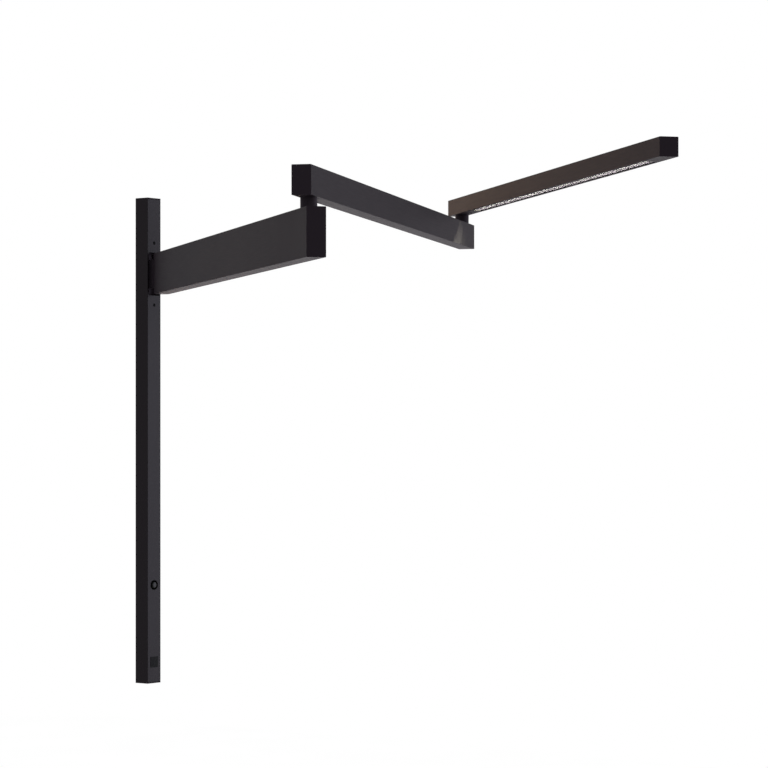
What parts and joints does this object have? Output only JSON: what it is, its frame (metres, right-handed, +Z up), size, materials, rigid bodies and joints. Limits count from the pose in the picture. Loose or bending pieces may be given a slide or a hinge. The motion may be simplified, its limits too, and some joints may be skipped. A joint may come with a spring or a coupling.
{
  "type": "articulating wall lamp",
  "caption": "Slim wall rail with stacked swivelling arms that fold over each other and a narrow light head with a lit strip on its underside.",
  "frame": {"origin": "on the wall plane, behind the middle of the rail, centre of the line of wall screws", "axes": "+Z up, +Y into the wall, +X to the right of someone who faces the wall; the room is towards -Y"},
  "size_m": [0.7334, 0.876, 0.603],
  "materials": {
    "black_anodised": "satin",
    "black_cast": "satin",
    "black_steel": "satin",
    "steel": "machined",
    "bronze": "machined",
    "raw_aluminium": "milled",
    "black_plastic": "fine grain",
    "grey_plastic": "fine grain",
    "white_plastic": "matt",
    "slide_plastic": "matt",
    "board": "solder mask",
    "green_board": "solder mask",
    "led": "phosphor",
    "grid": "satin",
    "opal": "opal",
    "rubber": "matt"
  },
  "bodies": {
    "rail": {"wall_plate": "black_steel", "rail_profile": "black_anodised", "rail_top_cap": "black_cast", "rail_bottom_cap": "black_cast", "hinge_carrier": "black_steel", "carrier_screws": "black_steel", "hinge_bushes": "bronze", "rail_grub_screws": "steel", "button_bezel": "black_plastic", "switch_board": "green_board", "board_posts": "black_plastic", "touch_switch": "black_plastic", "led_driver": "white_plastic", "terminal_block": "white_plastic", "cable_grommet": "rubber", "badge_plate": "black_steel"},
    "button": {"push_button": "grey_plastic"},
    "first_arm": {"arm_1_tube": "black_anodised", "arm_1_hinge_block": "black_cast", "hinge_pin": "steel", "arm_1_elbow_block": "black_cast", "elbow_1_bushes": "bronze", "elbow_1_slide_washer": "slide_plastic", "elbow_1_steel_washer": "steel", "elbow_1_plug": "black_cast", "arm_1_screws": "steel"},
    "second_arm": {"arm_2_tube": "black_anodised", "arm_2_near_cap": "black_cast", "arm_2_far_cap": "black_cast", "arm_2_neck_block": "raw_aluminium", "elbow_1_shaft_screw": "steel", "elbow_1_shaft": "steel", "elbow_1_collar": "black_cast", "elbow_1_lock_nut": "steel", "elbow_1_springs": "steel", "arm_2_elbow_block": "raw_aluminium", "elbow_2_bushes": "bronze", "elbow_2_slide_washer": "slide_plastic", "elbow_2_steel_washer": "steel", "elbow_2_plug": "black_cast", "arm_2_screws": "steel"},
    "light_head": {"head_profile": "black_anodised", "head_front_cap": "black_cast", "head_neck_block": "black_cast", "elbow_2_shaft_screw": "steel", "elbow_2_shaft": "steel", "elbow_2_collar": "black_cast", "elbow_2_lock_nut": "steel", "elbow_2_springs": "steel", "heat_spreader": "raw_aluminium", "led_board": "board", "led_chips": "led", "anti_glare_grid": "grid", "diffuser": "opal"}
  },
  "joints": [
    {"name": "rail_swivel", "type": "hinge", "parent": "rail", "child": "first_arm", "pos_m": [0, -0.0325, 0.206], "axis": [0, 0, 1], "range_deg": [-38.9, 111.1]},
    {"name": "elbow_1_swivel", "type": "hinge", "parent": "first_arm", "child": "second_arm", "pos_m": [-0.40654, -0.59001, 0.2365], "axis": [0, 0, 1], "range_deg": [-319.6, 20.4]},
    {"name": "elbow_2_swivel", "type": "hinge", "parent": "second_arm", "child": "light_head", "pos_m": [0.26749, -0.29693, 0.2775], "axis": [0, 0, 1], "range_deg": [-18.2, 251.8]},
    {"name": "button_press", "type": "slide", "parent": "rail", "child": "button", "axis": [0, 1, 0], "range_m": [0, 0.001], "stiffness_N_per_m": 600, "springref_m": -0.001}
  ]
}
